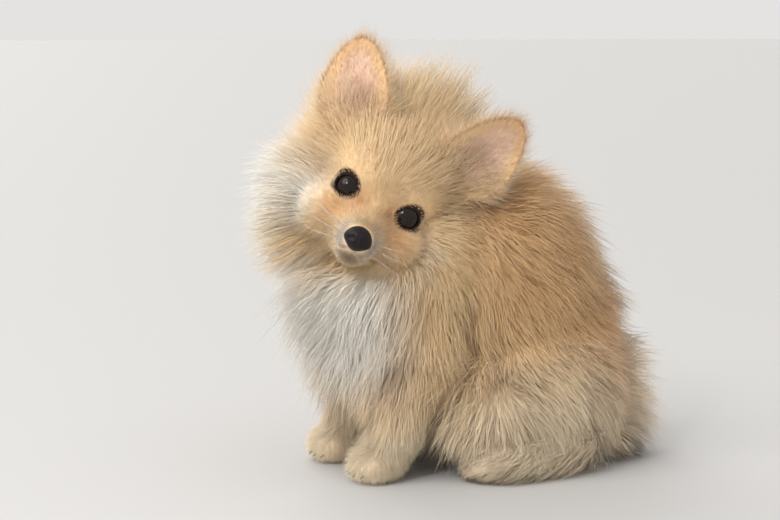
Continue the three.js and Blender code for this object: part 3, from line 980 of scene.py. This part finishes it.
def clear_of_eyes(p, reach):
    """How much of each tuft is left so that none lies over an eye."""
    q = to_head(p)
    to_eye = np.min([np.linalg.norm(q - EYES[side], axis=1) - EYE_R for side in (1, -1)], axis=0)
    length = np.maximum(np.linalg.norm(reach, axis=1), 0.1)
    most = 1.3 + 0.5 * np.maximum(to_eye, 0) + 60 * smoothstep(to_eye, 7, 20)
    return np.minimum(1, most / length)[:, None]


# The long coat in two layers: an under one, and an upper one that reaches the coat's outline
for layer, tuft_count, (low, high), thick, rings in (
    ("under", UNDER_TUFTS, (0.3, 0.85), 0.2, 1),
    ("upper", LONG_TUFTS, (0.7, 1.12), 0.125, 2),
):
    roots = Roots(0, FACE_STARTS[2], long_amount, tuft_count)
    bare(roots)
    reach = combed(roots.p, roots.n, rng.uniform(low, high, len(roots.p)))
    length = np.linalg.norm(reach, axis=1)[:, None]
    reach += length * (FRIZZ * rng.standard_normal(reach.shape) + WAVE * swirl(roots.p))
    reach = clumped(roots.p, reach, rng.uniform(0, CLUMP_PULL, len(reach)))
    reach *= clear_of_eyes(roots.p, reach)
    part = part_weights(roots.p).argmax(axis=1)
    width = thick * rng.uniform(0.7, 1.3, len(reach))
    for name, (members, slot) in REGIONS.items():
        here = np.isin(part, [names.index(member) for member in members])
        coat_pieces(f"coat_{name}_{layer}", roots.some(here), reach[here], width[here], rings, slot)

# Short fur on the face and feet, shortest round the eyes, with dark hairs among the pale near the nose
roots = Roots(0, FACE_STARTS[2], short_amount, SHORT_TUFTS)
bare(roots)
reach = combed(roots.p, roots.n, rng.uniform(0.6, 1.1, len(roots.p)))
reach *= clear_of_eyes(roots.p, reach)
reach += 0.12 * np.linalg.norm(reach, axis=1)[:, None] * rng.standard_normal(reach.shape)
width = FINE * rng.uniform(0.7, 1.3, len(reach))
darker = rng.random(len(reach)) < 0.35 * near_nose(roots.p)
roots.colour = np.where(darker[:, None], roots.colour * 0.5, roots.colour)
coat_pieces("coat_short", roots, reach, width, 1, "coat_gold", pale=0.1, vary=0.2)


# Ears: short fur over the back, a fringe round the rim, long fur at the base and pale fuzz in the cup


def ear_coat(name, first, last):
    roots = Roots(first, last, lambda p: np.ones(len(p)), EAR_TUFTS)
    q = to_head(roots.p)
    n = roots.n @ HEAD_AXES
    side = math.copysign(1, q[:, 0].mean())
    inside = n[:, 1] < -0.25
    rim = np.abs(n[:, 1]) < 0.7
    up = unit(q - vec(side * 22, 22, 14))
    lie = unit(up - (up * n).sum(axis=1, keepdims=True) * n)
    stand = np.where(inside, 0.35, 0.3)[:, None]
    way = unit(lie + stand * n) @ HEAD_AXES.T
    length = np.where(rim, 9.0, 6.0) * rng.uniform(0.6, 1.25, len(q))
    length = np.where(inside & ~rim, 5.0 * rng.uniform(0.6, 1.3, len(q)), length)
    low = smoothstep(32 - np.linalg.norm(q - vec(side * 22, 20, 14), axis=1), 0, 12)
    length *= 1 + 1.1 * low
    reach = way * length[:, None]
    reach += 0.2 * length[:, None] * rng.standard_normal(reach.shape)
    keep = (HEAD_FLESH(q) > 1) & (~inside | rim | (rng.random(len(q)) < 0.75))
    roots.colour = lerp(roots.colour, GOLD, 0.8 * low[:, None])
    roots.colour = np.where((inside & ~rim)[:, None], lerp(roots.colour, CREAM, 0.45), roots.colour)
    width = np.full(keep.sum(), FINE)
    coat_pieces("coat_" + name, roots.some(keep), reach[keep], width, 1, "coat_gold", pale=0.3, soft=False)


for k, (name, _) in enumerate(EARS, 2):
    ear_coat(name, FACE_STARTS[k], FACE_STARTS[k + 1])


# Eyes: a dark wet ball with a slight bulge in front


def ball(radius, centre, out, bulge, rows=36, columns=48):
    across = unit(np.cross(out, vec(0, 0, 1)))
    over = np.cross(across, out)
    polar, turn = (angle[:, None] for angle in ball_grid(rows, columns))
    reach = radius + bulge * np.exp(-((polar / 0.6) ** 2))
    points = centre + reach * (
        np.cos(polar) * out + np.sin(polar) * (np.cos(turn) * across + np.sin(turn) * over)
    )
    return points, grid_quads(rows, columns, flip=True)


EYE_FINISH = Finish("wet_eye")
tone = EYE_FINISH.noise(900)
EYE_FINISH.colour(tone, (0.004, 0.0025, 0.002), (0.02, 0.01, 0.006))
EYE_FINISH.set(Roughness=0.06, Specular_IOR_Level=0.2, Coat_Weight=0.2, Coat_Roughness=0.02)
EYE_FINISH.bump(tone, 0.00002, 0.1)

for name, side in (("eye_left", 1), ("eye_right", -1)):
    points, faces = ball(EYE_R, EYES[side], eye_gaze(side), EYE_BULGE)
    eye = mesh_object(name.replace("eye", "eyeball"), metres(from_head(points)), faces)
    eye.data.materials.append(EYE_FINISH.material)
    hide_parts(name)


# Nose: a rounded wedge with a groove down its middle and two comma-shaped nostrils


def nose_form(q):
    place = q - NOSE_AT
    d = place.copy()
    d[:, 2] += 0.96 * (d[:, 0] / NOSE["across"]) ** 2
    d[:, 0] /= 1 - 0.3 * smoothstep(-d[:, 2] / NOSE["high"], -0.1, 1)
    form = ellipsoid(vec(0, 0, 0), vec(*NOSE.values()))(d)
    for side in (1, -1):
        hole = bone(vec(side * 2.7, -5.2, -0.4), 1.25, vec(side * 4.6, -3.6, -1.7), 0.6)
        form = smooth_max(form, -hole(place), 0.8)
    groove = bone(vec(0, -5.6, 1.2), 0.3, vec(0, -4.4, -6.5), 0.55)
    return smooth_max(form, -groove(place), 0.9)


LEATHER = Finish("nose_leather")
pebbles = LEATHER.texture("ShaderNodeTexVoronoi", 1500, "Distance")
LEATHER.colour(pebbles, (0.006, 0.005, 0.005), (0.018, 0.014, 0.013))
LEATHER.set(Specular_IOR_Level=0.2)
LEATHER.links.new(LEATHER.between(pebbles, 0.3, 0.5), LEATHER.inputs["Roughness"])
LEATHER.bump(pebbles, 0.0002, 0.6, invert=True)

nose_points, nose_quads = surface_nets(nose_form, NOSE_AT - 9, NOSE_AT + 9, NOSE_STEP)
nose = mesh_object("nose_pad", metres(from_head(settled(nose_form, nose_points))), nose_quads)
nose.data.materials.append(LEATHER.material)
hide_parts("nose")


# Whiskers and claws


def plain_material(name, colour, roughness, scale):
    finish = Finish(name)
    tone = finish.noise(scale)
    finish.colour(tone, colour * 0.75, np.minimum(colour * 1.25, 1))
    finish.set(Roughness=roughness)
    finish.bump(tone, 0.00005, 0.3)
    return finish.material


def whisker_roots():
    rows = []
    for side in (1, -1):
        for row, height in enumerate((-16, -19, -22)):
            for k in range(3):
                rows.append((side, height, -13 + 3.2 * k + row))
    return np.array(rows, float)


rows = whisker_roots()
start = np.stack([rows[:, 0] * 30, rows[:, 2], rows[:, 1]], axis=1)
inward = np.stack([-rows[:, 0], np.zeros(len(rows)), np.zeros(len(rows))], axis=1)
start = start + inward * march(lambda q: -HEAD_FLESH(q), start, inward)[:, None]
out = gradient(HEAD_FLESH, start)
way = unit(np.stack([rows[:, 0] * 0.9, 0.15 + 0.05 * (rows[:, 2] + 13), (rows[:, 1] + 20) * 0.05], axis=1))
reach = way * rng.uniform(*WHISKER_LENGTH, len(rows))[:, None]
width = np.full(len(rows), WHISKER_THICK)
points = tufts(from_head(start), out @ HEAD_AXES.T, reach @ HEAD_AXES.T, width, 3)
faces = (tuft_faces(3)[None] + 10 * np.arange(len(rows))[:, None, None]).reshape(-1, 3)
whiskers = mesh_object("whiskers", metres(points.reshape(-1, 3)), faces)
whiskers.data.materials.append(plain_material("whisker", srgb(225, 215, 205), 0.4, 900))


def claw(tip_of_toe, forward, rows=9, columns=12, length=5.2, thick=1.0):
    """A small horn that leaves the toe forward and curves down."""
    t = np.linspace(0, 1, rows)[:, None]
    drop = -1.2 * length * 0.35 * t**2
    middle = tip_of_toe + forward * (length * (t - 0.45)) + vec(0, 0, 1) * drop
    turn = np.linspace(0, 2 * math.pi, columns, endpoint=False)
    sideways = np.cross(forward, vec(0, 0, 1))
    radius = thick * np.sqrt(np.maximum(1 - t**1.6, 0.002))
    ring = 0.75 * np.cos(turn)[:, None] * sideways + np.sin(turn)[:, None] * vec(0, 0, 1)
    points = (middle[:, None] + radius[:, :, None] * ring[None]).reshape(-1, 3)
    points[:, 2] = np.maximum(points[:, 2], CLAW_GAP)
    return points, grid_quads(rows, columns)


claw_points, claw_quads = [], []
for side in (1, -1):
    for middle, turn in ((FORE_TOES, 0.0), (HIND_TOES, HIND_TOES_TURN)):
        for across in TOE_SPOTS:
            bearing = side * turn
            forward = vec(math.sin(bearing), -math.cos(bearing), 0)
            sideways = vec(math.cos(bearing), math.sin(bearing), 0)
            before = CLAW_BEFORE - abs(across) * TOE_RETREAT
            toe = middle * vec(side, 1, 1) + sideways * across + forward * before
            points, quads = claw(toe - vec(0, 0, CLAW_DROP), forward)
            claw_quads.append(quads + sum(len(p) for p in claw_points))
            claw_points.append(points)
claws = mesh_object("claws", metres(np.concatenate(claw_points)), np.concatenate(claw_quads))
claws.data.materials.append(plain_material("claw_horn", srgb(92, 74, 62), 0.35, 700))


# Camera, light and floor after the photograph: the camera is as high as the ears and aims a little down

AZIMUTH, ELEVATION = math.radians(65), math.radians(7)
TO_CAMERA = vec(
    math.sin(AZIMUTH) * math.cos(ELEVATION), -math.cos(AZIMUTH) * math.cos(ELEVATION), math.sin(ELEVATION)
)
RIGHT = vec(math.cos(AZIMUTH), math.sin(AZIMUTH), 0)
UP = np.cross(TO_CAMERA, RIGHT)
DISTANCE = 884.0
AIM = RIGHT * -38.4 + UP * 94.4


def look_at(piece, place, aim):
    piece.location = Vector(metres(place))
    piece.rotation_euler = Vector(place - aim).to_track_quat("Z", "Y").to_euler()


camera = bpy.data.objects.new("camera", bpy.data.cameras.new("camera"))
camera.data.lens = 85
camera.data.clip_start = 0.01
bpy.context.scene.collection.objects.link(camera)
look_at(camera, AIM + TO_CAMERA * DISTANCE, AIM)
bpy.context.scene.camera = camera


def lamp(name, kind, place, power, **settings):
    light = bpy.data.objects.new(name, bpy.data.lights.new(name, kind))
    light.data.energy = power
    for setting, value in settings.items():
        setattr(light.data, setting, value)
    bpy.context.scene.collection.objects.link(light)
    look_at(light, place, vec(0, 0, 90))


key_place = TO_CAMERA * 700 - RIGHT * 700 + UP * 900
rim_place = TO_CAMERA * -700 - RIGHT * 400 + UP * 800
catch_place = TO_CAMERA * 700 - RIGHT * 330 + UP * 520
lamp("key", "SUN", key_place, 1.35, angle=math.radians(45), color=(1, 0.97, 0.92))
lamp("rim", "SUN", rim_place, 0.8, angle=math.radians(40), color=(1, 0.97, 0.93))
lamp("catch", "AREA", catch_place, 1.2, shape="DISK", size=0.1)

world = bpy.data.worlds.new("studio")
world.use_nodes = True
background = world.node_tree.nodes["Background"].inputs
background["Color"].default_value = (0.97, 0.96, 0.95, 1)
background["Strength"].default_value = 0.8
bpy.context.scene.world = world
bpy.context.scene.view_settings.view_transform = "Standard"

FLOOR_HALF = 60  # metres
floor_corners = [(x * FLOOR_HALF, y * FLOOR_HALF, 0) for x, y in ((-1, -1), (1, -1), (1, 1), (-1, 1))]
floor_mesh = bpy.data.meshes.new("floor")
floor_mesh.from_pydata(floor_corners, [], [(0, 1, 2, 3)])
floor = bpy.data.objects.new("floor", floor_mesh)
bpy.context.scene.collection.objects.link(floor)
floor_finish = Finish("pale_floor")
floor_finish.set(Base_Color=(0.57, 0.565, 0.56, 1), Roughness=0.6)
floor_mesh.materials.append(floor_finish.material)
